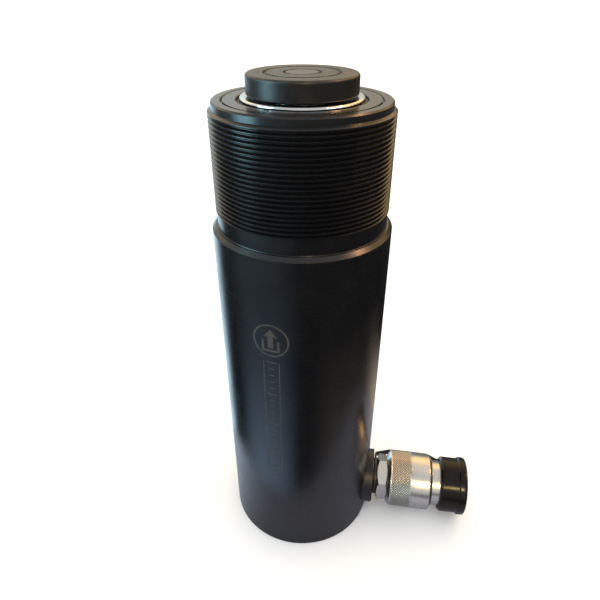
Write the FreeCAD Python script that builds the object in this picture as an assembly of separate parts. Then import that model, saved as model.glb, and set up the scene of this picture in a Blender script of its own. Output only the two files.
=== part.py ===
import FreeCAD
import Part

import math
import os

# Two-stage telescopic hydraulic cylinder, single acting, returned by its load.
# A thick-walled barrel with a collar thread holds a hollow chromed first stage,
# which holds a slim second stage with a grooved saddle on top. Oil enters low on
# the side through a quick coupler that a tethered rubber dust cap closes.
#
# Frame, in millimetres: +Z up along the barrel's axis, origin at the centre of
# the base, and the coupler points along +X. Everything is drawn retracted.

V = FreeCAD.Vector
UP = V(0, 0, 1)

# ---- driving dimensions ------------------------------------------------------

BARREL_R = 44.45  # 3.5 inch bar
BARREL_H = 260.0
BORE_R = 32.5
FLOOR_Z = 24.0  # bottom of the bore

THREAD_R = 42.07  # collar thread, 3 5/16 inch, 12 per inch
THREAD_PITCH = 25.4 / 12
THREAD_CRESTS = 22
THREAD_DEPTH = 1.3
CREST_FLAT = 0.42
SHOULDER_Z = 201.0  # lower edge of the shoulder's chamfer
SHOULDER_CHAMFER = 1.8
UNDERCUT_R = 41.6  # plain band between shoulder and thread
FIRST_CREST_Z = 211.0  # centre of the lowest crest
RELIEF_R = 40.45  # plain band above the thread
THREAD_LEAD = 0.55  # height of the chamfer above the thread, for each mm of its depth
RIM_CHAMFER = 0.7

GLAND_R = 36.0  # thread seat of the barrel's gland nut
GLAND_Z = 234.0
JOINT_BEVEL = 0.4  # on the rim, where the gland nut meets it
JOINT_STEP = (0.8, 1.1)  # width and depth of the step round the gland nut there

STAGE_1_R = 27.7  # chromed tube
STAGE_1_BORE_R = 20.0
STAGE_1_HEAD_H = 27.0
STAGE_1_TOP_Z = 261.0
STAGE_1_FLOOR = 12.0
STAGE_1_GLAND_R = 23.0
STAGE_1_GLAND_Z = 243.0

STAGE_2_R = 16.0
STAGE_2_HEAD_H = 24.0

GUIDE_1_Z = (240.0, 248.0)  # guide ring and wiper seats in the barrel's gland nut
GUIDE_1_T = 2.5
WIPER_1_Z = (255.0, 259.3)
WIPER_1_T = 1.65
GUIDE_2_Z = (246.5, 252.0)  # the same in the first stage's gland
GUIDE_2_T = 2.0
WIPER_2_Z = (256.4, 260.2)
WIPER_2_T = 2.6
GUIDE_GAP = 0.8  # split in each guide ring
BACKUP_T = 2.0

STEM_R = 8.0  # the saddle's stem hole

SADDLE_R = 24.9
SADDLE_BOTTOM_Z = 261.8
SADDLE_TOP_Z = 270.4

PORT_Z = 20.0  # height of the coupler's axis
PORT_THREAD_R = 8.3  # 3/8 NPT
PORT_SEAT_X = 36.5
OIL_HOLE_R = 2.5
OIL_HOLE_X = 28.5

BOSS_R = 17.0
BOSS_X = 48.0  # outer face of the port boss

HEX_FLATS = 25.4
HEX_X = (50.8, 57.1)
CORE_R = 14.0
CORE_X = (57.1, 103.0)
SLEEVE_R = 17.5
SLEEVE_X = (57.3, 85.9)
KNURL_END_X = 72.4
SOCKET_R = 8.0
SOCKET_X = 81.0
BALL_R = 5.2
BALL_X = 72.35

CAP_R = 17.15
CAP_X = (91.0, 107.4)
CAP_FLANGE_R = 18.0
CAP_FLANGE_X = 102.5
CAP_FLOOR = 3.4

STRAP_W = 5.0
STRAP_T = 1.2
STRAP_TURN = 75.0  # degrees from the top, away from the front
RING_R = 11.6

# ---- clearances --------------------------------------------------------------

RUN = 0.05  # seals and guide rings on the wall they slide on
FIT = 0.05  # screwed and seated pieces in their seats
AIR = 0.2  # metal passing metal
REST_GAP = 0.1  # a stage above the floor it rests on
SLACK = 0.1  # rings endwise in their grooves
OVERCUT = 1.0  # how far a cutting tool runs past a face
STOP_BEVEL = 1.3  # on each gland, over the fillet between a stage's head and its wall

# ---- interfaces --------------------------------------------------------------

BASE_HOLE_R = 4.25  # tapping size of M10
BASE_HOLE_DEPTH = 12.0
BASE_HOLE_SPACING = 58.7
MOUTH = 0.4  # chamfer at each hole's mouth
NOTCH_ANGLE = -109.0  # first of the gland nut's two wiper notches


# ---- drawing helpers ---------------------------------------------------------


def outline(points):
    """A closed face in the XZ plane from (radius, height) or (radius, height, fillet) points."""
    flat = [V(p[0], 0, p[1]) for p in points]
    rounds = [p[2] if len(p) > 2 else 0.0 for p in points]
    count = len(flat)
    starts, ends, arcs = [], [], []
    for i, corner in enumerate(flat):
        before = (flat[i - 1] - corner).normalize()
        after = (flat[(i + 1) % count] - corner).normalize()
        radius = rounds[i]
        if radius:
            half = before.getAngle(after) / 2
            reach = radius / math.tan(half)
            bisector = (before + after).normalize()
            middle = corner + bisector * (radius / math.sin(half) - radius)
            starts.append(corner + before * reach)
            ends.append(corner + after * reach)
            arcs.append(Part.Arc(starts[-1], middle, ends[-1]).toShape())
        else:
            starts.append(corner)
            ends.append(corner)
            arcs.append(None)
    edges = []
    for i in range(count):
        if arcs[i]:
            edges.append(arcs[i])
        follower = starts[(i + 1) % count]
        if ends[i].distanceToPoint(follower) > 1e-7:
            edges.append(Part.LineSegment(ends[i], follower).toShape())
    return Part.Face(Part.Wire(edges))


def turned(points):
    """A solid of revolution about Z."""
    return outline(points).revolve(V(0, 0, 0), UP, 360)


def ring(inner, outer, low, high, chamfer=0.0):
    """A plain ring about Z, with its four edges chamfered if asked."""
    c = chamfer
    if not c:
        return turned([(inner, low), (outer, low), (outer, high), (inner, high)])
    return turned(
        [
            (inner + c, low), (outer - c, low), (outer, low + c), (outer, high - c),
            (outer - c, high), (inner + c, high), (inner, high - c), (inner, low + c),
        ]
    )


def disc(radius, low, high):
    return Part.makeCylinder(radius, high - low, V(0, 0, low))


def drill(radius, low, high):
    """A drilled hole about Z, blind at high, with a 118 degree point."""
    point = radius / math.tan(math.radians(59))
    return turned([(0, low), (radius, low), (radius, high), (0, high + point)])


def o_ring(middle_r, section_r, height):
    return Part.makeTorus(middle_r, section_r, V(0, 0, height))


def u_cup(inner, outer, low, high):
    """A lip seal, open towards the pressure below it."""
    width = outer - inner
    lip = 0.28 * width
    depth = 0.45 * (high - low)
    return turned(
        [
            (inner, low), (inner + lip, low), ((inner + outer) / 2, low + depth),
            (outer - lip, low), (outer, low), (outer, high), (inner, high),
        ]
    )


def wiper(inner, outer, span):
    """A wiper ring with a raised scraping lip at its bore."""
    low, high = span[0] + SLACK, span[1]
    lip = 0.45 * (outer - inner)
    return turned(
        [
            (inner, low), (outer, low), (outer, high - 0.5),
            (inner + lip, high - 0.5), (inner + 0.25 * lip, high), (inner, high),
        ]
    )


def to_coupler(shape):
    """Lays a shape drawn about Z along +X, on the coupler's axis."""
    laid = shape.copy()
    laid.rotate(V(0, 0, 0), V(0, 1, 0), 90)
    laid.translate(V(0, 0, PORT_Z))
    return laid


def split(shape, angle, width):
    """Cuts a slit of that width through one side of a ring about Z."""
    box = shape.BoundBox
    slit = Part.makeBox(box.XMax, width, box.ZLength, V(0, -width / 2, box.ZMin))
    slit.rotate(V(0, 0, 0), UP, angle)
    return shape.cut(slit)


def guide_ring(inner, outer, span, angle):
    """A split ring that fills its groove up to the running face."""
    return split(ring(inner, outer, span[0] + SLACK, span[1] - SLACK, 0.2), angle, GUIDE_GAP)


# ---- barrel ------------------------------------------------------------------


def thread_points():
    """The collar thread's profile going up: crests of equal height, drawn as rings."""
    root_r = THREAD_R - THREAD_DEPTH
    flank = THREAD_DEPTH * math.tan(math.radians(30))
    half_flat = CREST_FLAT / 2
    runout = (THREAD_R - UNDERCUT_R) * math.tan(math.radians(30))
    points = [(UNDERCUT_R, FIRST_CREST_Z - half_flat - runout)]
    for i in range(THREAD_CRESTS):
        middle = FIRST_CREST_Z + i * THREAD_PITCH
        if i:
            points.append((root_r, middle - half_flat - flank))
        points += [(THREAD_R, middle - half_flat), (THREAD_R, middle + half_flat)]
        if i < THREAD_CRESTS - 1:
            points.append((root_r, middle + half_flat + flank))
    return points


def barrel():
    crest_top = FIRST_CREST_Z + (THREAD_CRESTS - 1) * THREAD_PITCH + CREST_FLAT / 2
    lead_top = crest_top + (THREAD_R - RELIEF_R) * THREAD_LEAD
    shell = turned(
        [
            (0, 0), (BARREL_R, 0, 0.8), (BARREL_R, SHOULDER_Z),
            (BARREL_R - SHOULDER_CHAMFER, SHOULDER_Z + SHOULDER_CHAMFER),
            (UNDERCUT_R, SHOULDER_Z + SHOULDER_CHAMFER, 0.3),
            *thread_points(),
            (RELIEF_R, lead_top), (RELIEF_R, BARREL_H - RIM_CHAMFER),
            (RELIEF_R - RIM_CHAMFER, BARREL_H), (GLAND_R + JOINT_BEVEL, BARREL_H),
            (GLAND_R, BARREL_H - JOINT_BEVEL), (GLAND_R, GLAND_Z),
            (BORE_R + 0.6, GLAND_Z), (BORE_R, GLAND_Z - 1.2),
            (BORE_R, FLOOR_Z, 3.0), (0, FLOOR_Z),
        ]
    )
    port = to_coupler(disc(PORT_THREAD_R, PORT_SEAT_X, BARREL_R + OVERCUT))
    cross_hole = to_coupler(disc(OIL_HOLE_R, OIL_HOLE_X, PORT_SEAT_X + OVERCUT))
    riser = disc(OIL_HOLE_R, PORT_Z, FLOOR_Z + OVERCUT)
    riser.translate(V(OIL_HOLE_X, 0, 0))
    elbow = Part.makeSphere(OIL_HOLE_R, V(OIL_HOLE_X, 0, PORT_Z))
    cutters = [port, cross_hole, riser, elbow]
    for side in (-1, 1):
        hole = drill(BASE_HOLE_R, 0, BASE_HOLE_DEPTH)
        mouth = turned([(0, 0), (BASE_HOLE_R + MOUTH, 0), (BASE_HOLE_R, MOUTH), (0, MOUTH)])
        for cutter in (hole, mouth):
            cutter.translate(V(0, side * BASE_HOLE_SPACING / 2, 0))
            cutters.append(cutter)
    return shell.cut(cutters[0].fuse(cutters[1:]))


def gland_nut():
    """The barrel's stop nut. It guides the first stage and stops its head."""
    inner = STAGE_1_R + AIR
    top = BARREL_H - REST_GAP
    seat_r = STAGE_1_R + WIPER_1_T
    guide_r = STAGE_1_R + GUIDE_1_T
    guide_low, guide_high = GUIDE_1_Z
    outer = GLAND_R - FIT
    step_w, step_h = JOINT_STEP
    body = turned(
        [
            (inner + STOP_BEVEL, GLAND_Z + REST_GAP), (outer - 1, GLAND_Z + REST_GAP),
            (outer, GLAND_Z + 1.1), (outer, top - step_h), (outer - step_w, top - step_h),
            (outer - step_w, top),
            (seat_r + 0.3, top), (seat_r, top - 0.3), (seat_r, WIPER_1_Z[0]),
            (inner, WIPER_1_Z[0]), (inner, guide_high), (guide_r, guide_high),
            (guide_r, guide_low), (inner, guide_low),
            (inner, GLAND_Z + REST_GAP + STOP_BEVEL),
        ]
    )
    for angle in (NOTCH_ANGLE, NOTCH_ANGLE + 180):
        notch = Part.makeBox(3.2, 2.4, 2.4, V(seat_r - 1.0, -1.2, top - 2.2))
        notch.rotate(V(0, 0, 0), UP, angle)
        body = body.cut(notch)
    return body


def gland_guide_ring():
    return guide_ring(STAGE_1_R + RUN, STAGE_1_R + GUIDE_1_T - FIT, GUIDE_1_Z, 60)


def gland_wiper():
    return wiper(STAGE_1_R + RUN, STAGE_1_R + WIPER_1_T - FIT, WIPER_1_Z)


# ---- first stage -------------------------------------------------------------

HEAD_1_LOW = FLOOR_Z + REST_GAP
HEAD_1_TOP = HEAD_1_LOW + STAGE_1_HEAD_H
HEAD_1_R = BORE_R - AIR
SEAL_1 = (HEAD_1_LOW + 6.5, HEAD_1_LOW + 15.0)  # seal and backup ring groove
WEAR_1 = (HEAD_1_LOW + 18.0, HEAD_1_LOW + 23.0)
SEAL_1_ROOT = BORE_R - 4.3
WEAR_1_ROOT = BORE_R - 2.0
STAGE_1_FLOOR_Z = HEAD_1_LOW + STAGE_1_FLOOR


def stage_1_tube():
    gland_seat = STAGE_1_GLAND_R
    return turned(
        [
            (4.0, HEAD_1_LOW), (HEAD_1_R - 5.0, HEAD_1_LOW), (HEAD_1_R, HEAD_1_LOW + 4.0),
            (HEAD_1_R, SEAL_1[0]), (SEAL_1_ROOT, SEAL_1[0]), (SEAL_1_ROOT, SEAL_1[1]),
            (HEAD_1_R, SEAL_1[1]), (HEAD_1_R, WEAR_1[0]), (WEAR_1_ROOT, WEAR_1[0]),
            (WEAR_1_ROOT, WEAR_1[1]), (HEAD_1_R, WEAR_1[1]), (HEAD_1_R, HEAD_1_TOP - 1.0),
            (HEAD_1_R - 1.0, HEAD_1_TOP), (STAGE_1_R, HEAD_1_TOP, 1.0),
            (STAGE_1_R, STAGE_1_TOP_Z, 0.9), (gland_seat + 0.5, STAGE_1_TOP_Z),
            (gland_seat, STAGE_1_TOP_Z - 0.5), (gland_seat, STAGE_1_GLAND_Z),
            (STAGE_1_BORE_R + 0.5, STAGE_1_GLAND_Z), (STAGE_1_BORE_R, STAGE_1_GLAND_Z - 1.0),
            (STAGE_1_BORE_R, STAGE_1_FLOOR_Z, 2.0), (4.0, STAGE_1_FLOOR_Z),
        ]
    )


def stage_1_seal():
    high = SEAL_1[1] - BACKUP_T - 2 * SLACK
    return u_cup(SEAL_1_ROOT + FIT, BORE_R - RUN, SEAL_1[0] + SLACK, high)


def stage_1_backup_ring():
    high = SEAL_1[1] - SLACK
    return ring(SEAL_1_ROOT + FIT, BORE_R - AIR, high - BACKUP_T, high, 0.2)


def stage_1_wear_ring():
    return guide_ring(WEAR_1_ROOT + FIT, BORE_R - RUN, WEAR_1, 200)


def stage_1_gland():
    """The stop nut in the first stage's top. It guides the second stage."""
    inner = STAGE_2_R + AIR
    outer = STAGE_1_GLAND_R - FIT
    top = STAGE_1_TOP_Z - 0.6
    low = STAGE_1_GLAND_Z + REST_GAP
    guide_r = STAGE_2_R + GUIDE_2_T
    seat_r = STAGE_2_R + WIPER_2_T
    guide_low, guide_high = GUIDE_2_Z
    body = turned(
        [
            (inner + STOP_BEVEL, low), (outer - 0.8, low), (outer, low + 0.8), (outer, top - 0.5),
            (outer - 0.5, top), (seat_r, top), (seat_r, WIPER_2_Z[0]), (inner, WIPER_2_Z[0]),
            (inner, guide_high), (guide_r, guide_high), (guide_r, guide_low), (inner, guide_low),
            (inner, low + STOP_BEVEL),
        ]
    )
    for angle in (0, 90, 180, 270):
        slot = Part.makeBox(2.6, 2.4, 2.4, V(outer - 2.0, -1.2, top - 2.0))
        slot.rotate(V(0, 0, 0), UP, angle)
        body = body.cut(slot)
    return body


def stage_1_guide_ring():
    return guide_ring(STAGE_2_R + RUN, STAGE_2_R + GUIDE_2_T - FIT, GUIDE_2_Z, 150)


def stage_1_wiper():
    return wiper(STAGE_2_R + RUN, STAGE_2_R + WIPER_2_T - FIT, WIPER_2_Z)


# ---- second stage ------------------------------------------------------------

HEAD_2_LOW = STAGE_1_FLOOR_Z + REST_GAP
HEAD_2_TOP = HEAD_2_LOW + STAGE_2_HEAD_H
HEAD_2_R = STAGE_1_BORE_R - AIR
SEAL_2 = (HEAD_2_LOW + 6.0, HEAD_2_LOW + 13.5)
WEAR_2 = (HEAD_2_LOW + 16.0, HEAD_2_LOW + 20.5)
SEAL_2_ROOT = STAGE_1_BORE_R - 3.6
WEAR_2_ROOT = STAGE_1_BORE_R - 1.8
ROD_TOP = SADDLE_BOTTOM_Z - REST_GAP
STEM_SEAT_Z = ROD_TOP - 15.0
SNAP_Z = ROD_TOP - 9.0
SNAP_R = 1.0  # half the height of the stem's groove
STEM_AIR = 0.1
STEM_GROOVE = 1.1


def stage_2_plunger():
    return turned(
        [
            (0, HEAD_2_LOW), (HEAD_2_R - 3.5, HEAD_2_LOW), (HEAD_2_R, HEAD_2_LOW + 3.5),
            (HEAD_2_R, SEAL_2[0]), (SEAL_2_ROOT, SEAL_2[0]), (SEAL_2_ROOT, SEAL_2[1]),
            (HEAD_2_R, SEAL_2[1]), (HEAD_2_R, WEAR_2[0]), (WEAR_2_ROOT, WEAR_2[0]),
            (WEAR_2_ROOT, WEAR_2[1]), (HEAD_2_R, WEAR_2[1]), (HEAD_2_R, HEAD_2_TOP - 1.0),
            (HEAD_2_R - 1.0, HEAD_2_TOP), (STAGE_2_R, HEAD_2_TOP, 1.0),
            (STAGE_2_R, ROD_TOP, 0.8), (STEM_R + 0.5, ROD_TOP), (STEM_R, ROD_TOP - 0.5),
            (STEM_R, SNAP_Z + 1.2), (STEM_R + 0.9, SNAP_Z + 1.2),
            (STEM_R + 0.9, SNAP_Z - 1.2), (STEM_R, SNAP_Z - 1.2), (STEM_R, STEM_SEAT_Z),
            (0, STEM_SEAT_Z - 3.0),
        ]
    )


def stage_2_seal():
    high = SEAL_2[1] - BACKUP_T - 2 * SLACK
    return u_cup(SEAL_2_ROOT + FIT, STAGE_1_BORE_R - RUN, SEAL_2[0] + SLACK, high)


def stage_2_backup_ring():
    high = SEAL_2[1] - SLACK
    return ring(SEAL_2_ROOT + FIT, STAGE_1_BORE_R - AIR, high - BACKUP_T, high, 0.2)


def stage_2_wear_ring():
    return guide_ring(WEAR_2_ROOT + FIT, STAGE_1_BORE_R - RUN, WEAR_2, 20)


# ---- saddle ------------------------------------------------------------------

SADDLE_GROOVES = ((7.9, 1.3), (16.5, 1.7))  # (middle radius, width)
GROOVE_DEPTH = 0.8


def saddle():
    """The load pad: two ring grooves on top, and a stem that the snap ring holds."""
    stem_r = STEM_R - STEM_AIR
    groove_r = stem_r - STEM_GROOVE
    stem_low = STEM_SEAT_Z + 1.0
    points = [
        (0, stem_low), (stem_r - 1.2, stem_low), (stem_r, stem_low + 1.2),
        (stem_r, SNAP_Z - SNAP_R), (groove_r, SNAP_Z - SNAP_R),
        (groove_r, SNAP_Z + SNAP_R), (stem_r, SNAP_Z + SNAP_R),
        (stem_r, SADDLE_BOTTOM_Z), (SADDLE_R, SADDLE_BOTTOM_Z, 0.5),
        (SADDLE_R, SADDLE_TOP_Z, 1.3),
    ]
    for middle, width in reversed(SADDLE_GROOVES):
        points += [
            (middle + width / 2, SADDLE_TOP_Z),
            (middle + width / 4, SADDLE_TOP_Z - GROOVE_DEPTH),
            (middle - width / 4, SADDLE_TOP_Z - GROOVE_DEPTH),
            (middle - width / 2, SADDLE_TOP_Z),
        ]
    points.append((0, SADDLE_TOP_Z))
    return turned(points)


def saddle_snap_ring():
    wire_r = 0.8
    middle = STEM_R - STEM_AIR - STEM_GROOVE + STEM_AIR + wire_r
    return split(o_ring(middle, wire_r, SNAP_Z), 90, 3.0)


# ---- port and coupler, drawn about Z with heights along +X -------------------


def port_boss():
    """The round boss welded on for the port, fitted to the barrel's curve."""
    blank = turned(
        [
            (PORT_THREAD_R + 1.0, BOSS_X), (PORT_THREAD_R, BOSS_X - 1.0), (PORT_THREAD_R, 36.0),
            (BOSS_R, 36.0), (BOSS_R, BOSS_X, 0.6),
        ]
    )
    return to_coupler(blank).cut(disc(BARREL_R, -5, PORT_Z + 2 * BOSS_R))


def hexagon(flats, low, high, corner=0.0):
    """A hexagonal bar about Z with one corner towards +Y, its ends turned to a chamfer."""
    radius = flats / math.sqrt(3)
    corners = [
        V(radius * math.sin(math.radians(60 * i)), radius * math.cos(math.radians(60 * i)), low)
        for i in range(7)
    ]
    bar = Part.Face(Part.makePolygon(corners)).extrude(V(0, 0, high - low))
    if not corner:
        return bar
    drop = corner * math.tan(math.radians(30))
    crown = turned(
        [
            (0, low), (radius - corner, low), (radius, low + drop),
            (radius, high - drop), (radius - corner, high), (0, high),
        ]
    )
    return bar.common(crown)


CORE_SPIGOT_R = 9.5
CORE_SPIGOT_X = 51.5


def coupler_nipple():
    """Male pipe thread, neck and hexagon in one piece, with a socket for the core."""
    stub = turned(
        [
            (4.0, PORT_SEAT_X + 0.8), (PORT_THREAD_R - 0.8, PORT_SEAT_X + 0.8),
            (PORT_THREAD_R - FIT, PORT_SEAT_X + 1.6), (PORT_THREAD_R - FIT, HEX_X[0] + 0.5),
            (4.0, HEX_X[0] + 0.5),
        ]
    )
    nut = hexagon(HEX_FLATS, HEX_X[0], HEX_X[1], 1.9)
    nut.rotate(V(0, 0, 0), UP, 90)
    body = stub.fuse(nut)
    socket = disc(CORE_SPIGOT_R, CORE_SPIGOT_X - 0.2, HEX_X[1] + OVERCUT)
    passage = disc(4.0, PORT_SEAT_X, CORE_SPIGOT_X)
    return to_coupler(body.cut(socket.fuse(passage)).removeSplitter())


SNAP_GROOVE_X = (77.0, 78.7)
SEAT_X = 73.4
SPRING_X = (54.3, 69.35)


def coupler_core():
    """The coupler's fixed body: ball chamber, seat, and the socket that takes the hose half."""
    low, high = CORE_X
    seal_x = 90.0
    chamber = 6.4
    seat_hole = 3.2
    shape = turned(
        [
            (4.0, CORE_SPIGOT_X), (CORE_SPIGOT_R - FIT, CORE_SPIGOT_X),
            (CORE_SPIGOT_R - FIT, low + FIT), (CORE_R - 0.6, low + FIT),
            (CORE_R, low + 0.6), (CORE_R, SNAP_GROOVE_X[0]),
            (CORE_R - 1.3, SNAP_GROOVE_X[0]), (CORE_R - 1.3, SNAP_GROOVE_X[1]),
            (CORE_R, SNAP_GROOVE_X[1]), (CORE_R, high - 1.2), (CORE_R - 1.2, high),
            (SOCKET_R + 1.0, high), (SOCKET_R, high - 1.0), (SOCKET_R, seal_x + 1.4),
            (SOCKET_R + 1.9, seal_x + 1.4), (SOCKET_R + 1.9, seal_x - 1.4),
            (SOCKET_R, seal_x - 1.4), (SOCKET_R, SOCKET_X), (seat_hole, SOCKET_X),
            (seat_hole, SEAT_X + chamber - seat_hole), (chamber, SEAT_X),
            (chamber, SPRING_X[0] - 0.3), (4.0, SPRING_X[0] - 0.3),
        ]
    )
    return to_coupler(shape)


def core_o_ring():
    return to_coupler(o_ring(SOCKET_R + 0.95, 0.9, 90.0))


def coupler_sleeve():
    """The turning collar: knurled grip, plain band, and a recess for its snap ring."""
    low, high = SLEEVE_X
    bore = CORE_R + AIR
    recess = bore + 1.3
    shape = turned(
        [
            (bore, low), (SLEEVE_R - 2.6, low), (SLEEVE_R, low + 1.9),
            (SLEEVE_R, KNURL_END_X), (SLEEVE_R - 0.35, KNURL_END_X + 0.15),
            (SLEEVE_R - 0.35, KNURL_END_X + 0.55), (SLEEVE_R, KNURL_END_X + 0.7),
            (SLEEVE_R, high - 1.9), (SLEEVE_R - 2.5, high), (bore, high),
            (bore, SNAP_GROOVE_X[1] + 0.4), (recess, SNAP_GROOVE_X[1] + 0.4),
            (recess, 64.0), (bore, 64.0),
        ]
    )
    return to_coupler(shape)


def sleeve_snap_ring():
    low, high = SNAP_GROOVE_X
    return to_coupler(split(ring(CORE_R - 1.2, CORE_R + 1.25, low + SLACK, high - SLACK, 0.15), 180, 3.0))


def check_ball():
    return to_coupler(Part.makeSphere(BALL_R, V(0, 0, BALL_X)))


def check_spring():
    """Round wire, five coils, between the chamber's shoulder and the ball."""
    wire_r = 0.45
    coil_r = 4.6
    low, high = SPRING_X[0] + wire_r, SPRING_X[1] - wire_r
    coils = 5
    helix = Part.makeHelix((high - low) / coils, high - low, coil_r)
    helix.translate(V(0, 0, low))
    section = Part.Wire(Part.makeCircle(wire_r, V(coil_r, 0, low), V(0, 1, 0)).Edges)
    pipe = Part.Wire(helix.Edges).makePipeShell([section], True, True)
    return to_coupler(pipe)


# ---- dust cap ----------------------------------------------------------------


def dust_cap():
    """A rubber cup on the core's nose, with a thicker rim at its closed end."""
    low, high = CAP_X
    bore = CORE_R + FIT
    return to_coupler(
        turned(
            [
                (bore + 0.8, low), (CAP_R - 1.4, low), (CAP_R, low + 1.4),
                (CAP_R, CAP_FLANGE_X), (CAP_FLANGE_R, CAP_FLANGE_X + 0.6),
                (CAP_FLANGE_R, high, 1.4), (0, high), (0, high - CAP_FLOOR),
                (bore - 1.5, high - CAP_FLOOR), (bore, high - CAP_FLOOR - 1.5),
                (bore, low + 0.8),
            ]
        )
    )


def cap_strap():
    """A flat moulded strap: a ring on the nipple's neck, over the sleeve, to the cap."""
    neck_r = PORT_THREAD_R + 0.2
    eye_low, eye_high = BOSS_X + 0.3, HEX_X[0] - 0.2
    eye = ring(neck_r, RING_R, eye_low, eye_high, 0.3)
    over_hex = HEX_FLATS / math.sqrt(3) + 0.2
    over = SLEEVE_R + 0.35
    end_x = CAP_X[0] - 0.3
    band = outline(
        [
            (neck_r + 1.5, eye_low), (over_hex + STRAP_T, eye_low, 1.2),
            (over + STRAP_T, SLEEVE_X[0] + 1.9, 6.0), (over + STRAP_T, SLEEVE_X[1] - 1.4, 6.0),
            (CAP_R - 0.2, end_x), (CAP_R - 0.2 - STRAP_T, end_x),
            (over, SLEEVE_X[1] - 1.0, 5.0), (over, SLEEVE_X[0] + 2.2, 5.0),
            (over_hex, eye_high, 0.4), (neck_r + 1.5, eye_high),
        ]
    )
    band.translate(V(0, -STRAP_W / 2, 0))
    strap = eye.fuse(band.extrude(V(0, STRAP_W, 0))).removeSplitter()
    strap.rotate(V(0, 0, 0), UP, 180 - STRAP_TURN)
    return to_coupler(strap)


PIECES = [
    barrel, gland_nut, gland_guide_ring, gland_wiper,
    stage_1_tube, stage_1_seal, stage_1_backup_ring, stage_1_wear_ring,
    stage_1_gland, stage_1_guide_ring, stage_1_wiper,
    stage_2_plunger, stage_2_seal, stage_2_backup_ring, stage_2_wear_ring,
    saddle, saddle_snap_ring,
    port_boss, coupler_nipple, coupler_core, core_o_ring, coupler_sleeve,
    sleeve_snap_ring, check_ball, check_spring,
    dust_cap, cap_strap,
]

os.makedirs("parts", exist_ok=True)
for piece in PIECES:
    shape = piece()
    name = piece.__name__
    print(f"{name:22s} valid {shape.isValid()} solids {len(shape.Solids)} volume {shape.Volume:10.1f}")
    shape.exportStep(f"parts/{name}.step")
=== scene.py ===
import math

import bmesh
import bpy
from mathutils import Matrix, Vector


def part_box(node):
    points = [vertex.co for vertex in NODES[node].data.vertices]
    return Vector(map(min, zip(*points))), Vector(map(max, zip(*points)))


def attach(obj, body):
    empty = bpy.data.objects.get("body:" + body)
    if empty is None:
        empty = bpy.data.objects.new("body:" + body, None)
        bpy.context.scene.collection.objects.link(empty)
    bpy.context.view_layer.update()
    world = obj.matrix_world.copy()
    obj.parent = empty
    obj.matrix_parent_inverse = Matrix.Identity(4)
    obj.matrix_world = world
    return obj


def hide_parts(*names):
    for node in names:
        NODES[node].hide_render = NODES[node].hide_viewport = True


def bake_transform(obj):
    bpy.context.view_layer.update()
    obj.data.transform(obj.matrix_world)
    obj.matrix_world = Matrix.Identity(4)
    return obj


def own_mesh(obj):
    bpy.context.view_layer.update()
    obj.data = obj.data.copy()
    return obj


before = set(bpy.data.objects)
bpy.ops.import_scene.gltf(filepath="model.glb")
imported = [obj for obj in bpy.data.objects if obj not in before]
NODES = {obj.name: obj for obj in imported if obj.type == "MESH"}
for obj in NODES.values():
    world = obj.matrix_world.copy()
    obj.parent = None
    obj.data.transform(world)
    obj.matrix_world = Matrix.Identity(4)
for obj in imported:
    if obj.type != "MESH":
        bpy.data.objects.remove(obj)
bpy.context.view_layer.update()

# Lengths below are in millimetres unless they say otherwise; MM turns them into metres.
MM = 0.001


def span(node, axis):
    """The lowest and highest coordinate of a CAD node along an axis, 0 to 2, in millimetres."""
    low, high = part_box(node)
    return low[axis] / MM, high[axis] / MM


PORT_Z = sum(span("coupler_sleeve", 2)) / 2  # height of the coupler's axis
BARREL_R = span("barrel", 1)[1]
RIM_Z = span("barrel", 2)[1]
SLEEVE_LOW, SLEEVE_HIGH = span("coupler_sleeve", 0)
SLEEVE_R = span("coupler_sleeve", 1)[1]
CORE_R = span("coupler_core", 1)[1]
CORE_HIGH = span("coupler_core", 0)[1]
CAP_LOW, CAP_HIGH = span("dust_cap", 0)
CAP_R = span("dust_cap", 1)[1]
STAGE_1_R = 27.7  # outside of the first stage's tube
STAGE_2_R = 16.0  # the second stage's rod
SADDLE_R = span("saddle", 1)[1]


# ---- shapes ------------------------------------------------------------------


def rounded(points, steps=6):
    """(radius, height) points from (radius, height, fillet) ones, with each fillet as an arc."""
    out = []
    count = len(points)
    for i, point in enumerate(points):
        corner = Vector(point[:2])
        fillet = point[2] if len(point) > 2 else 0.0
        if not fillet:
            out.append(tuple(corner))
            continue
        before = (Vector(points[i - 1][:2]) - corner).normalized()
        after = (Vector(points[(i + 1) % count][:2]) - corner).normalized()
        half = before.angle(after) / 2
        centre = corner + (before + after).normalized() * (fillet / math.sin(half))
        first = corner + before * (fillet / math.tan(half)) - centre
        last = corner + after * (fillet / math.tan(half)) - centre
        turn = first.angle_signed(last)
        for k in range(steps + 1):
            out.append(tuple(centre + Matrix.Rotation(-turn * k / steps, 2) @ first))
    return out


def to_coupler(obj):
    """Lays a shape made about Z along +X, on the coupler's axis."""
    obj.data.transform(Matrix.Translation((0, 0, PORT_Z * MM)) @ Matrix.Rotation(math.pi / 2, 4, "Y"))
    return obj


def link(name, data):
    """A new object in the scene."""
    obj = bpy.data.objects.new(name, data)
    bpy.context.scene.collection.objects.link(obj)
    return obj


def finished(name, bm, sharp=35):
    """A smooth-shaded object from a bmesh, whose edges over that many degrees stay sharp."""
    bmesh.ops.recalc_face_normals(bm, faces=bm.faces)
    mesh = bpy.data.meshes.new(name)
    bm.to_mesh(mesh)
    bm.free()
    obj = link(name, mesh)
    mesh.shade_smooth()
    mesh.set_sharp_from_angle(angle=math.radians(sharp))
    return obj


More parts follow.
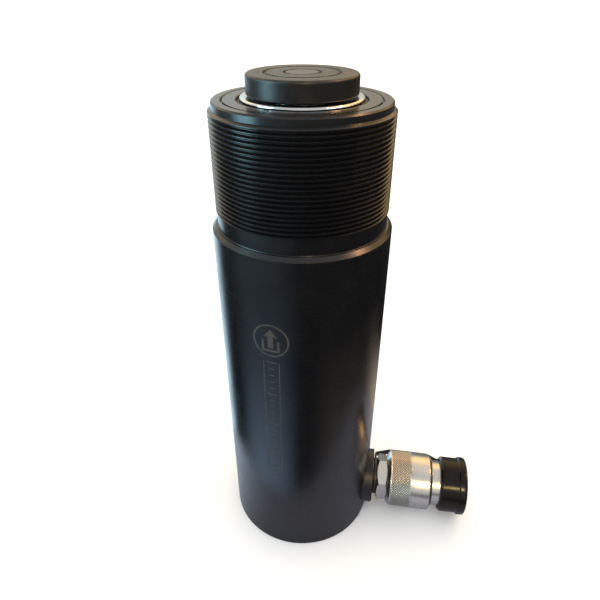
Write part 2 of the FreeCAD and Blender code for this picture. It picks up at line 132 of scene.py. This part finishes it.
def lathe(name, profile, segments=192, shape=None):
    """A closed profile turned about Z. shape(radius, angle, height) may move each point's radius."""
    bm = bmesh.new()
    rings = []
    for radius, height in profile:
        ring = []
        for k in range(segments):
            angle = 2 * math.pi * k / segments
            r = shape(radius, angle, height) if shape else radius
            ring.append(bm.verts.new((r * MM * math.cos(angle), r * MM * math.sin(angle), height * MM)))
        rings.append(ring)
    for i, ring in enumerate(rings):
        above = rings[(i + 1) % len(rings)]
        for k in range(segments):
            after = (k + 1) % segments
            bm.faces.new((ring[k], ring[after], above[after], above[k]))
    bmesh.ops.remove_doubles(bm, verts=bm.verts, dist=1e-7)
    bmesh.ops.dissolve_degenerate(bm, edges=bm.edges, dist=1e-7)
    return finished(name, bm)


def sweep(name, rings):
    """A skin over a row of closed rings of points in metres, shut at both ends."""
    bm = bmesh.new()
    rings = [[bm.verts.new(point) for point in ring] for ring in rings]
    for low, high in zip(rings, rings[1:]):
        for k in range(len(low)):
            after = (k + 1) % len(low)
            bm.faces.new((low[k], low[after], high[after], high[k]))
    bm.faces.new(rings[0])
    bm.faces.new(rings[-1])
    return finished(name, bm)


# ---- coupler sleeve ----------------------------------------------------------

KNURL_LOW = 59.6
KNURL_HIGH = 72.2
KNURL_CELLS = 64  # diamonds round the sleeve
KNURL_DEPTH = 0.35
KNURL_ROWS = 72
GROOVE_X = 72.35
GROOVE_DEPTH = 0.4
BAND_X = 74.0  # on the plain band past the groove
CHAMFER_STEPS = 4
SLEEVE_SEGMENTS = 720


def knurl(radius, angle, height):
    """Diamond knurling: pyramids between two sets of crossing V grooves."""
    if not KNURL_LOW < height < KNURL_HIGH or radius < SLEEVE_R - 1:
        return radius
    across = angle * KNURL_CELLS / (2 * math.pi)
    along = height * KNURL_CELLS / (2 * math.pi * SLEEVE_R)
    ridges = [1 - abs(2 * ((across + way * along) % 1.0) - 1) for way in (-1, 1)]
    fade = min(1.0, (height - KNURL_LOW) / 0.5, (KNURL_HIGH - height) / 0.5)
    return radius - KNURL_DEPTH * fade * (1 - min(1.0, 1.35 * min(ridges)))


def make_sleeve():
    """The knurled collar, with a groove and a plain band in front of its knurl."""
    bore = CORE_R + 0.2
    back = rounded([
        (bore, SLEEVE_LOW + 0.3), (bore + 0.3, SLEEVE_LOW), (SLEEVE_R - 2.6, SLEEVE_LOW, 0.4),
        (SLEEVE_R, SLEEVE_LOW + 1.9, 0.5), (SLEEVE_R, KNURL_HIGH), (bore, KNURL_HIGH),
    ], CHAMFER_STEPS)[:-2]
    knurled = [
        (SLEEVE_R, KNURL_LOW + (KNURL_HIGH - KNURL_LOW) * k / KNURL_ROWS) for k in range(KNURL_ROWS + 1)
    ]
    groove = [
        (SLEEVE_R, GROOVE_X), (SLEEVE_R - GROOVE_DEPTH, GROOVE_X + 0.15),
        (SLEEVE_R - GROOVE_DEPTH, GROOVE_X + 0.6), (SLEEVE_R, GROOVE_X + 0.75),
    ]
    nose = rounded([
        (SLEEVE_R, BAND_X), (SLEEVE_R, SLEEVE_HIGH - 1.9, 0.5), (SLEEVE_R - 2.5, SLEEVE_HIGH, 0.4),
        (bore + 0.3, SLEEVE_HIGH), (bore, SLEEVE_HIGH - 0.3), (bore, BAND_X),
    ], CHAMFER_STEPS)[:-1]
    sleeve = lathe("knurled_sleeve", back + knurled + groove + nose, SLEEVE_SEGMENTS, knurl)
    to_coupler(sleeve)
    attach(sleeve, "coupler_sleeve")
    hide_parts("coupler_sleeve")
    return sleeve


# ---- dust cap and strap ------------------------------------------------------

STRAP_UP = 15.0  # degrees above horizontal, on the far side
STRAP_W = 5.0
STRAP_T = 1.15
NECK_R = 8.5
EYE_R = 11.6  # outside of the strap's ring
HEX_CLEAR = 15.5  # radius at which the strap passes the hexagon's corners
CAP_BEAD = 4.9  # length of the thicker end
CAP_FLOOR = 3.4
CAP_DISH = 0.6


def make_cap():
    """A rubber cup with a bead round its closed end, and a shallow dish in that end."""
    bore = CORE_R + 0.05
    bead = CAP_HIGH - CAP_BEAD
    floor = CAP_HIGH - CAP_FLOOR
    wall = CAP_R - 0.85
    profile = rounded([
        (bore, CAP_LOW + 0.9, 0.3), (bore + 0.9, CAP_LOW, 0.25), (wall - 1.3, CAP_LOW, 0.5),
        (wall, CAP_LOW + 1.3, 0.5), (wall, bead, 0.35), (CAP_R, bead + 0.5, 0.35), (CAP_R, CAP_HIGH, 1.5),
        (CAP_R - 3.2, CAP_HIGH, 0.3), (CAP_R - 3.8, CAP_HIGH - CAP_DISH, 0.3), (0, CAP_HIGH - CAP_DISH),
        (0, floor), (bore - 1.5, floor, 0.5), (bore, floor - 1.5, 0.5),
    ])
    cap = lathe("rubber_dust_cap", profile, 256)
    to_coupler(cap)
    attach(cap, "dust_cap")
    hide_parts("dust_cap")
    return cap


def make_strap():
    """The ring on the nipple's neck, and the band that goes from it over the sleeve to the cap."""
    eye_low, eye_high = span("cap_strap", 0)[0], span("coupler_nipple", 0)[1] - 6.5
    eye = lathe("strap_eye", rounded([
        (NECK_R, eye_low, 0.3), (EYE_R, eye_low, 0.6), (EYE_R, eye_high, 0.6), (NECK_R, eye_high, 0.3),
    ]), 128)
    over = SLEEVE_R + 0.95
    rise = eye_low + 1.15
    route = rounded([
        (rise, EYE_R - 1), (rise, HEX_CLEAR, 1.4), (SLEEVE_LOW + 2, over, 9), (SLEEVE_HIGH - 2, over, 9),
        (CAP_LOW - 0.6, CAP_R - 2.6, 2.0), (CAP_LOW + 2, CAP_R - 2.4),
    ], 12)
    route = [Vector(place) for place in route]
    half_w, half_t = STRAP_W / 2, STRAP_T / 2
    section = rounded([
        (-half_w, -half_t, 0.4), (half_w, -half_t, 0.4), (half_w, half_t, 0.4), (-half_w, half_t, 0.4),
    ], 4)
    rings = []
    last = len(route) - 1
    for i, place in enumerate(route):
        along = (route[min(i + 1, last)] - route[max(i - 1, 0)]).normalized()
        out = Vector((-along.y, along.x))
        ring = []
        for wide, thick in section:
            s = place + out * thick
            ring.append((s.y * MM, wide * MM, s.x * MM))
        rings.append(ring)
    band = sweep("strap_band", rings)
    turn = Matrix.Rotation(math.radians(90 + STRAP_UP), 4, "Z")
    for part in (eye, band):
        part.data.transform(turn)
        to_coupler(part)
    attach(eye, "cylinder")
    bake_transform(band)
    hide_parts("cap_strap")
    return [eye, band]


# ---- check valve's spring ----------------------------------------------------

SPRING_R = 4.58
WIRE_R = 0.44
WIRE_SIDES = 16
SPRING_COILS = 5
COIL_STEPS = 48


def make_spring():
    """A coil spring, wound along the length of the check valve's spring."""
    low, high = span("check_spring", 0)
    first, last = low + WIRE_R + 0.02, high - WIRE_R - 0.02
    steps = COIL_STEPS * SPRING_COILS
    rings = []
    for k in range(steps + 1):
        angle = 2 * math.pi * SPRING_COILS * k / steps
        out = Vector((math.cos(angle), math.sin(angle), 0))
        centre = out * SPRING_R + Vector((0, 0, first + (last - first) * k / steps))
        ring = []
        for m in range(WIRE_SIDES):
            turn = 2 * math.pi * m / WIRE_SIDES
            ring.append((centre + WIRE_R * (out * math.cos(turn) + Vector((0, 0, math.sin(turn))))) * MM)
        rings.append(ring)
    spring = to_coupler(sweep("valve_spring", rings))
    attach(spring, "cylinder")
    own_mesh(spring)
    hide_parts("check_spring")
    return spring


# ---- etched mark -------------------------------------------------------------

MARK_TURN = -101.5  # azimuth of the mark's middle
MARK_HIGH = 158.0  # height of the round sign's centre
MARK_SKIN = 0.03  # how proud of the steel the etched layer stands
SIGN_R = 9.4
CUP_HALF = 4.6  # half the width of the cup that the arrow lifts out of
CUP_WALL = 1.2
SHAFT_HALF = 1.4
HEAD_HALF = 3.6
SCALE_HIGH = 145.0
SCALE_LOW = 62.0
SCALE_STEP = 4.15
LONG_TICK = 2.9  # half lengths of the scale's strokes, with every fifth one long
SHORT_TICK = 1.4
TICK_T = 0.7
RAIL_OUT = 4.4  # outer edge of the scale's side lines
RAIL_W = 0.5


def make_mark():
    """A round sign of a ram that lifts, over a plain stroke scale, as one thin layer on the barrel."""
    bm = bmesh.new()

    def patch(corners):
        """A quadrilateral of (sideways, up) points in millimetres, bent round the barrel."""
        steps = 4
        a, b, c, d = (Vector(corner) for corner in corners)
        rows = []
        for i in range(steps + 1):
            for near, far in ((a, b), (d, c)):
                point = near.lerp(far, i / steps)
                turn = math.radians(MARK_TURN) + point.x / BARREL_R
                r = (BARREL_R + MARK_SKIN) * MM
                rows.append(bm.verts.new((r * math.cos(turn), r * math.sin(turn), point.y * MM)))
        for k in range(0, 2 * steps, 2):
            bm.faces.new((rows[k], rows[k + 2], rows[k + 3], rows[k + 1]))

    def bar(left, low, right, high):
        patch([(left, low), (right, low), (right, high), (left, high)])

    def hoop(inner, outer, count=48):
        for k in range(count):
            turns = [2 * math.pi * (k + way) / count for way in (0, 1)]
            points = [(r * math.cos(t), MARK_HIGH + r * math.sin(t)) for r, t in
                      ((inner, turns[0]), (outer, turns[0]), (outer, turns[1]), (inner, turns[1]))]
            patch(points)

    hoop(SIGN_R - 0.9, SIGN_R)
    floor = MARK_HIGH - 5.2
    neck = MARK_HIGH + 2.2
    tip = MARK_HIGH + 6.6
    bar(-CUP_HALF, floor - CUP_WALL, CUP_HALF, floor)
    for left in (-CUP_HALF, CUP_HALF - CUP_WALL):
        bar(left, floor, left + CUP_WALL, MARK_HIGH + 0.4)
    bar(-SHAFT_HALF, floor + 1, SHAFT_HALF, neck)
    patch([(-HEAD_HALF, neck), (HEAD_HALF, neck), (0.05, tip), (-0.05, tip)])
    for left in (-RAIL_OUT, RAIL_OUT - RAIL_W):
        bar(left, SCALE_LOW, left + RAIL_W, SCALE_HIGH)
    count = round((SCALE_HIGH - SCALE_LOW) / SCALE_STEP)
    for k in range(count + 1):
        height = SCALE_LOW + k * (SCALE_HIGH - SCALE_LOW) / count
        reach = LONG_TICK if k % 5 == 0 else SHORT_TICK
        bar(-reach, height - TICK_T / 2, reach, height + TICK_T / 2)
    mark = finished("etched_mark", bm)
    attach(mark, "cylinder")
    return mark


# ---- wipers ------------------------------------------------------------------


def make_wiper(name, node, inner, body):
    """A rubber ring with a raised lip against the stage that slides through it."""
    low, high = span(node, 2)
    outer = span(node, 0)[1]
    lip = 0.45 * (outer - inner)
    wiper = lathe(name, rounded([
        (inner, low), (outer, low), (outer, high - 0.5, 0.25), (inner + lip, high - 0.5, 0.2),
        (inner + 0.3 * lip, high, 0.15), (inner, high - 0.15),
    ]))
    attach(wiper, body)
    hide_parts(node)
    return wiper


# ---- materials ---------------------------------------------------------------


class Nodes:
    """A node tree, with short ways to add to it."""

    def __init__(self, tree):
        self.nodes = tree.nodes
        self.links = tree.links

    def add(self, kind, values=(), **settings):
        """A node. values go to its input sockets by number or name; a socket there is linked."""
        node = self.nodes.new("ShaderNode" + kind)
        for key, value in settings.items():
            setattr(node, key, value)
        for key, value in dict(values).items():
            self.feed(value, node.inputs[key])
        return node

    def feed(self, value, socket):
        if isinstance(value, bpy.types.NodeSocket):
            self.links.new(value, socket)
        else:
            socket.default_value = value

    def math(self, operation, a, b=0.0):
        return self.add("Math", {0: a, 1: b}, operation=operation).outputs[0]

    def vector(self, x, y, z):
        return self.add("CombineXYZ", {0: x, 1: y, 2: z}).outputs[0]

    def noise(self, vector, scale, detail=4.0, roughness=0.55):
        return self.add("TexNoise", {"Vector": vector, "Scale": scale, "Detail": detail,
                                     "Roughness": roughness}).outputs[0]

    def ramp(self, value, low, high, to_low=0.0, to_high=1.0):
        """value from low..high mapped to to_low..to_high, and held there outside."""
        return self.add("MapRange", {0: value, 1: low, 2: high, 3: to_low, 4: to_high}).outputs[0]

    def toward(self, vector, direction):
        """How far a vector points along a direction."""
        dot = self.add("VectorMath", {0: vector, 1: direction}, operation="DOT_PRODUCT")
        return dot.outputs["Value"]

    def mix(self, share, a, b):
        node = self.add("Mix", data_type="RGBA")
        self.feed(share, node.inputs[0])
        self.feed(a, node.inputs[6])
        self.feed(b, node.inputs[7])
        return node.outputs[2]


class Surface(Nodes):
    """A node-built material round one Principled shader."""

    def __init__(self, name, **sockets):
        self.material = bpy.data.materials.new(name)
        self.material.use_nodes = True
        super().__init__(self.material.node_tree)
        self.shader = self.nodes["Principled BSDF"]
        for socket, value in sockets.items():
            self.shader.inputs[socket.replace("_", " ")].default_value = value

    def place(self, stretch=(1, 1, 1)):
        """Coordinates in metres in the row's frame, stretched."""
        coordinates = self.add("TexCoord").outputs["Object"]
        return self.add("Mapping", {0: coordinates, 3: stretch}).outputs[0]

    def turned(self, axis):
        """(radius, height, angle) of a point in millimetres about the barrel's or the coupler's axis."""
        coordinates = self.add("TexCoord").outputs["Object"]
        enlarged = self.add("VectorMath", {0: coordinates, 1: (1 / MM, 1 / MM, 1 / MM)}, operation="MULTIPLY")
        split = self.add("SeparateXYZ", {0: enlarged.outputs[0]}).outputs
        if axis == "barrel":
            a, b, height = split[0], split[1], split[2]
        else:
            a, b, height = split[1], self.math("SUBTRACT", split[2], PORT_Z), split[0]
        squares = self.math("ADD", self.math("MULTIPLY", a, a), self.math("MULTIPLY", b, b))
        radius = self.math("SQRT", squares)
        angle = self.math("ARCTAN2", b, a)
        return radius, height, angle

    def colour(self, value):
        self.feed(value, self.shader.inputs["Base Color"])

    def rough(self, value):
        self.feed(value, self.shader.inputs["Roughness"])

    def bump(self, height, strength, distance=0.02 * MM):
        node = self.add("Bump", {"Strength": strength, "Distance": distance, "Height": height})
        self.feed(node.outputs[0], self.shader.inputs["Normal"])


def rgb(r, g, b):
    return (r, g, b, 1.0)


def lathe_marks(surface, axis, pitch=0.16):
    """Fine rings left by a turning tool, as a height from 0 to 1."""
    radius, height, angle = surface.turned(axis)
    slow = surface.math("MULTIPLY", angle, 0.02)
    vector = surface.vector(radius, height, slow)
    return surface.noise(vector, 1 / pitch, 2.0, 0.7)


def black_oxide(name, axis="barrel", roughness=(0.2, 0.28), tint=(0.0026, 0.0029, 0.0036)):
    s = Surface(name, Specular_IOR_Level=0.5)
    marks = lathe_marks(s, axis)
    cloud = s.noise(s.place(), 38.0, 5.0, 0.6)
    smear = s.noise(s.place((1, 1, 0.35)), 90.0, 3.0, 0.5)
    warm = rgb(tint[0] * 1.5, tint[1] * 1.25, tint[2] * 1.05)
    s.colour(s.mix(s.ramp(cloud, 0.35, 0.7), rgb(*tint), warm))
    base = s.ramp(cloud, 0.3, 0.7, *roughness)
    smudged = s.math("ADD", base, s.ramp(smear, 0.5, 0.75, 0.0, 0.04))
    s.rough(s.math("ADD", smudged, s.ramp(marks, 0.3, 0.7, -0.02, 0.03)))
    s.bump(marks, 0.07)
    return s.material


def etched(name):
    """Where a laser has taken the shine off the oxide."""
    s = Surface(name, Specular_IOR_Level=0.5)
    grain = s.noise(s.place(), 4000.0, 3.0, 0.7)
    worn = s.noise(s.place((1, 1, 0.4)), 160.0, 4.0, 0.6)
    tone = s.mix(s.ramp(worn, 0.35, 0.65), rgb(0.024, 0.02, 0.0155), rgb(0.05, 0.042, 0.032))
    s.colour(s.mix(s.ramp(grain, 0.4, 0.7, 0, 0.5), tone, rgb(0.01, 0.01, 0.01)))
    s.rough(s.ramp(grain, 0.3, 0.7, 0.5, 0.7))
    s.bump(grain, 0.2)
    return s.material


def saddle_wear_and_sheen(name):
    """The saddle's oxide: duller, and lighter grey inside the inner ring and on the edge, partly rubbed steel
    and partly a painted sheen and painted edge highlight.
    """
    s = Surface(name, Specular_IOR_Level=0.36)
    radius, height, angle = s.turned("barrel")
    marks = lathe_marks(s, "barrel")
    cloud = s.noise(s.place(), 60.0, 5.0, 0.65)
    fine = s.noise(s.place(), 420.0, 4.0, 0.6)
    dark = s.mix(s.ramp(cloud, 0.35, 0.7), rgb(0.0030, 0.0028, 0.0024), rgb(0.0060, 0.0050, 0.0040))
    # lighter grey, partly rubbed steel and partly painted light: a painted sheen inside the inner ring and a
    # painted highlight on the top edge
    centre = s.ramp(radius, 8.6, 6.2)
    edge = s.ramp(radius, SADDLE_R - 1.3, SADDLE_R - 0.5, 0.0, 0.45)
    on_top = s.ramp(height, RIM_Z + 9.4, RIM_Z + 10.2)
    worn = s.math("MULTIPLY", s.math("ADD", centre, edge), on_top)
    rubbed_and_sheen = s.math("MULTIPLY", worn, s.ramp(fine, 0.3, 0.62))
    s.colour(s.mix(rubbed_and_sheen, dark, rgb(0.075, 0.07, 0.06)))
    s.rough(s.math("ADD", s.ramp(fine, 0.3, 0.7, 0.32, 0.44), s.ramp(marks, 0.3, 0.7, -0.03, 0.03)))
    s.bump(s.math("ADD", marks, s.math("MULTIPLY", fine, 0.5)), 0.12)
    return s.material


def chrome(name):
    s = Surface(name, Metallic=1.0)
    marks = lathe_marks(s, "barrel", 0.09)
    cloud = s.noise(s.place(), 60.0, 4.0)
    s.colour(s.mix(s.ramp(cloud, 0.3, 0.7), rgb(0.66, 0.66, 0.67), rgb(0.73, 0.72, 0.7)))
    s.rough(s.ramp(marks, 0.25, 0.75, 0.09, 0.17))
    s.bump(marks, 0.05)
    return s.material


def zinc(name, knurled=False):
    """Satin zinc plate with the faint straw and lilac tints of its passivation; on the knurl, painted shade
    darkens the grooves.
    """
    s = Surface(name, Metallic=1.0)
    marks = lathe_marks(s, "coupler", 0.12)
    cloud = s.noise(s.place((0.5, 1, 1)), 70.0, 4.0, 0.5)
    stain = s.noise(s.place((0.3, 1, 1)), 110.0, 3.0, 0.5)
    plate = s.mix(s.ramp(cloud, 0.35, 0.65), rgb(0.60, 0.60, 0.56), rgb(0.68, 0.66, 0.60))
    tinted = s.mix(s.ramp(stain, 0.5, 0.75, 0.0, 0.6), plate, rgb(0.64, 0.58, 0.60))
    rough = s.math("ADD", s.ramp(cloud, 0.3, 0.7, 0.24, 0.3), s.ramp(marks, 0.3, 0.7, -0.03, 0.03))
    if knurled:
        radius, along, angle = s.turned("coupler")
        start = s.ramp(along, KNURL_LOW, KNURL_LOW + 0.4)
        end = s.ramp(along, KNURL_HIGH, KNURL_HIGH - 0.4)
        band = s.math("MULTIPLY", start, end)
        crest = s.mix(s.math("MULTIPLY", band, 0.85), tinted, rgb(0.52, 0.51, 0.46))
        # painted shade: below the crests, by radius, the knurl's grooves are mixed to a dark colour standing
        # in for the shade in them
        groove = s.math("MULTIPLY", band, s.ramp(radius, SLEEVE_R - 0.05, SLEEVE_R - KNURL_DEPTH))
        tinted = s.mix(groove, crest, rgb(0.13, 0.12, 0.10))
        rough = s.math("ADD", rough, s.math("MULTIPLY", band, 0.08))
    s.colour(tinted)
    s.rough(rough)
    s.bump(marks, 0.08)
    return s.material


def rubber(name, shade=(0.0075, 0.0062, 0.0052), roughness=(0.34, 0.5), grain_depth=0.03, gloss=0.5):
    s = Surface(name, Specular_IOR_Level=gloss)
    grain = s.noise(s.place(), 2600.0, 3.0, 0.6)
    cloud = s.noise(s.place(), 120.0, 4.0, 0.6)
    s.colour(s.mix(s.ramp(cloud, 0.35, 0.7), rgb(*shade), rgb(*(1.7 * part for part in shade))))
    s.rough(s.ramp(cloud, 0.3, 0.7, *roughness))
    s.bump(grain, 0.25, grain_depth * MM)
    return s.material


def moulded(name, base, speck, roughness=(0.35, 0.5), grain_scale=900.0):
    """Turned or moulded plastic with faint speckle."""
    s = Surface(name)
    grain = s.noise(s.place(), grain_scale, 4.0, 0.6)
    s.colour(s.mix(s.ramp(grain, 0.4, 0.65), rgb(*base), rgb(*speck)))
    s.rough(s.ramp(grain, 0.3, 0.7, *roughness))
    s.bump(grain, 0.15)
    return s.material


def woven(name):
    """Cloth-filled phenolic: a fine brown weave round the ring."""
    s = Surface(name)
    radius, height, angle = s.turned("barrel")
    round_ring = s.math("MULTIPLY", angle, 30.0)
    threads = [s.math("SINE", s.math("MULTIPLY", way, 9.0)) for way in (round_ring, height)]
    weave = s.ramp(s.math("MULTIPLY", *threads), -1, 1)
    s.colour(s.mix(weave, rgb(0.19, 0.11, 0.05), rgb(0.33, 0.21, 0.11)))
    s.rough(s.ramp(weave, 0, 1, 0.42, 0.56))
    s.bump(weave, 0.3)
    return s.material


def polished_steel(name, tone, roughness):
    """Bright or dull steel, by its tone, with a fine grain."""
    s = Surface(name, Metallic=1.0)
    grain = s.noise(s.place(), 700.0, 4.0, 0.6)
    bright = rgb(tone * 1.15, tone * 1.12, tone * 1.08)
    s.colour(s.mix(s.ramp(grain, 0.35, 0.65), rgb(tone, tone, tone), bright))
    s.rough(s.ramp(grain, 0.3, 0.7, *roughness))
    s.bump(grain, 0.04)
    return s.material


def paint(obj, material):
    obj.data.materials.clear()
    obj.data.materials.append(material)


# ---- putting it together -----------------------------------------------------

sleeve = make_sleeve()
cap = make_cap()
strap = make_strap()
spring = make_spring()
mark = make_mark()
wipers = [
    make_wiper("first_stage_wiper", "gland_wiper", STAGE_1_R + 0.05, "cylinder"),
    make_wiper("second_stage_wiper", "stage_1_wiper", STAGE_2_R + 0.05, "stage_1"),
]

oxide = black_oxide("black oxide")
saddle_steel = saddle_wear_and_sheen("saddle steel")
boss_steel = black_oxide("boss steel", axis="coupler", roughness=(0.3, 0.42))
etching = etched("etched oxide")
chrome_plate = chrome("hard chrome")
zinc_plate = zinc("zinc plate")
knurled_zinc = zinc("knurled zinc plate", knurled=True)
cap_rubber = rubber("cap rubber", (0.005, 0.003, 0.002), (0.15, 0.22), 0.008, 0.22)
strap_rubber = rubber("strap rubber")
seal_rubber = rubber("seal rubber", roughness=(0.4, 0.55))
urethane = moulded("polyurethane", (0.10, 0.17, 0.30), (0.13, 0.21, 0.34))
ptfe = moulded("white PTFE", (0.74, 0.74, 0.71), (0.80, 0.80, 0.78))
composite = woven("bearing composite")
spring_steel = polished_steel("spring steel", 0.28, (0.25, 0.4))
ball_steel = polished_steel("ball steel", 0.62, (0.06, 0.1))

FINISHES = {
    oxide: ["barrel", "gland_nut"],
    boss_steel: ["port_boss"],
    saddle_steel: ["saddle"],
    chrome_plate: ["stage_1_tube", "stage_1_gland", "stage_2_plunger"],
    etching: [mark],
    zinc_plate: ["coupler_nipple", "coupler_core"],
    knurled_zinc: [sleeve],
    cap_rubber: [cap],
    strap_rubber: strap,
    seal_rubber: ["core_o_ring", *wipers],
    urethane: ["stage_1_seal", "stage_2_seal"],
    ptfe: ["stage_1_backup_ring", "stage_2_backup_ring"],
    composite: ["gland_guide_ring", "stage_1_wear_ring", "stage_1_guide_ring", "stage_2_wear_ring"],
    spring_steel: ["saddle_snap_ring", "sleeve_snap_ring", spring],
    ball_steel: ["check_ball"],
}
for material, members in FINISHES.items():
    for member in members:
        paint(NODES[member] if isinstance(member, str) else member, material)


# ---- studio ------------------------------------------------------------------


def stage_disc(name, centre, radii, shade, low, high, left=None):
    """A flat ellipse in metres, in a faintly uneven matt paper, mixed on the left, where left is given, to
    that colour as painted light.
    """
    s = Surface(name, Roughness=0.9, Specular_IOR_Level=0.1)
    paper = s.mix(s.noise(s.place(), shade), rgb(*low), rgb(*high))
    if left:
        # painted light: the left side is mixed toward the given colour
        x = s.add("SeparateXYZ", {0: s.place()}).outputs[0]
        paper = s.mix(s.ramp(x, -0.03, -0.08), paper, rgb(*left))
    s.colour(paper)
    count = 96
    rim = []
    for k in range(count):
        angle = 2 * math.pi * k / count
        rim.append([c + r * way for c, r, way in zip(centre, radii, (math.cos(angle), math.sin(angle), 0))])
    mesh = bpy.data.meshes.new(name)
    mesh.from_pydata(rim, [], [list(range(count))])
    obj = link(name, mesh)
    paint(obj, s.material)
    return obj


def make_floor():
    """A pale floor. Reflections show, by the object, a sheet seen only in reflections, painted darker and
    bluer than the floor as a painted reflection, with painted cool window light on its left, and the room
    past that.
    """
    floor = stage_disc("floor", (0, 0, 0), (40, 40, 0), 3.0, (0.86, 0.86, 0.86), (0.88, 0.88, 0.875))
    floor.visible_glossy = False
    floor.visible_shadow = False
    # painted reflection: a sheet seen only in reflections, darker and bluer than the floor, with painted cool
    # window light on its left
    near = stage_disc(
        "painted_reflection_sheet", (0.03, 0, 0.0001), (0.125, 0.085, 0), 9.0, (0.38, 0.39, 0.47), (0.41, 0.42, 0.50),
        left=(0.58, 0.74, 0.98),
    )
    near.visible_camera = False
    near.visible_diffuse = False
    near.visible_shadow = False


def make_room():
    """A plain pale backdrop to the camera. The object reflects a room: pale above the horizon, with a warm
    wall behind, and dim below it, with cool light from the left and a warm glow from the far right."""
    world = bpy.data.worlds.new("studio")
    bpy.context.scene.world = world
    world.use_nodes = True
    n = Nodes(world.node_tree)
    x, y, z = n.add("SeparateXYZ", {0: n.add("TexCoord").outputs["Generated"]}).outputs
    level = n.add("VectorMath", {0: n.vector(x, y, 0.0)}, operation="NORMALIZE").outputs[0]
    left = n.ramp(n.toward(level, (-0.72, -0.69, 0.0)), 0.66, 0.97)
    steep = n.ramp(z, -0.60, -0.76)
    right = n.ramp(x, 0.25, 0.6)
    far_left = n.ramp(n.toward(level, (-0.5, 0.87, 0.0)), 0.86, 0.96)
    dim = n.mix(n.ramp(z, -0.48, -0.25), rgb(0.012, 0.013, 0.016), rgb(0.11, 0.115, 0.12))
    lower = n.mix(left, dim, rgb(0.24, 0.31, 0.36))
    floor = n.mix(left, n.mix(right, rgb(0.03, 0.03, 0.035), rgb(0.42, 0.36, 0.29)), rgb(0.8, 1.15, 1.6))
    lower = n.mix(far_left, n.mix(steep, lower, floor), rgb(1.3, 1.8, 2.1))
    far_right = n.ramp(n.toward(level, (0.55, 0.83, 0.0)), 0.86, 0.96)
    glow = n.math("MULTIPLY", far_right, n.ramp(z, -0.58, -0.66))
    lower = n.mix(glow, lower, rgb(0.85, 0.7, 0.56))
    back = n.math("MULTIPLY", n.ramp(y, 0.05, 0.45), n.ramp(z, 0.9, 0.7))
    behind = n.mix(n.ramp(x, -0.35, 0.3), rgb(0.75, 0.95, 1.05), rgb(0.16, 0.13, 0.10))
    high = n.mix(n.ramp(x, -0.3, 0.3), rgb(1.5, 1.26, 0.88), rgb(1.85, 1.22, 0.56))
    wall = n.mix(n.ramp(z, 0.14, 0.34), behind, high)
    upper = n.mix(back, rgb(0.72, 0.73, 0.74), wall)
    room = n.mix(n.ramp(z, -0.2, 0.04), lower, upper)
    seen = n.add("LightPath").outputs["Is Camera Ray"]
    n.feed(n.mix(seen, room, rgb(0.93, 0.93, 0.93)), n.nodes["Background"].inputs["Color"])


def add_light(light, name, power, colour, place=(0, 0, 3), target=(0, 0, 0.14)):
    light.energy = power
    light.color = colour
    obj = link(name, light)
    obj.location = place
    obj.rotation_euler = (Vector(target) - Vector(place)).to_track_quat("-Z", "Y").to_euler()
    return obj


def panel(name, place, size, power, colour, target=(0, 0, 0.14)):
    """A soft box in metres that faces target."""
    light = bpy.data.lights.new(name, "AREA")
    light.shape = "RECTANGLE"
    light.size, light.size_y = size
    obj = add_light(light, name, power, colour, place, target)
    obj.visible_camera = False
    obj.visible_diffuse = False


def make_light():
    sky = bpy.data.lights.new("sky", "SUN")
    sky.angle = math.radians(150)
    sky = add_light(sky, "sky", 2.3, (1.0, 1.0, 1.0))
    sky.visible_glossy = False
    panel("window", (-0.89, -0.45, 0.42), (0.5, 0.9), 15.0, (0.45, 0.85, 1.0))
    panel("lamp", (0.92, 0.19, 1.17), (0.22, 0.22), 10.0, (1.0, 0.52, 0.24), (0.04, 0, 0.26))
    panel("front", (0.30, -0.96, 0.70), (0.13, 0.13), 5.0, (1.0, 0.68, 0.27), (0.1, 0, 0.02))


CAMERA_DOWN = 31.94  # degrees below level
CAMERA_TURN = 8.64  # degrees round from facing +Y


def make_camera():
    """Close and above, and turned a little from the coupler's side view."""
    camera = bpy.data.cameras.new("camera")
    camera.sensor_width = 36.0
    camera.lens = 30.45
    camera.shift_x = -0.004
    camera.clip_start = 0.01
    obj = link("camera", camera)
    obj.location = (0.0355, -0.2337, 0.3024)
    obj.rotation_euler = (math.radians(90 - CAMERA_DOWN), 0, math.radians(CAMERA_TURN))
    bpy.context.scene.camera = obj


make_floor()
make_room()
make_light()
make_camera()
bpy.context.scene.view_settings.view_transform = "Standard"
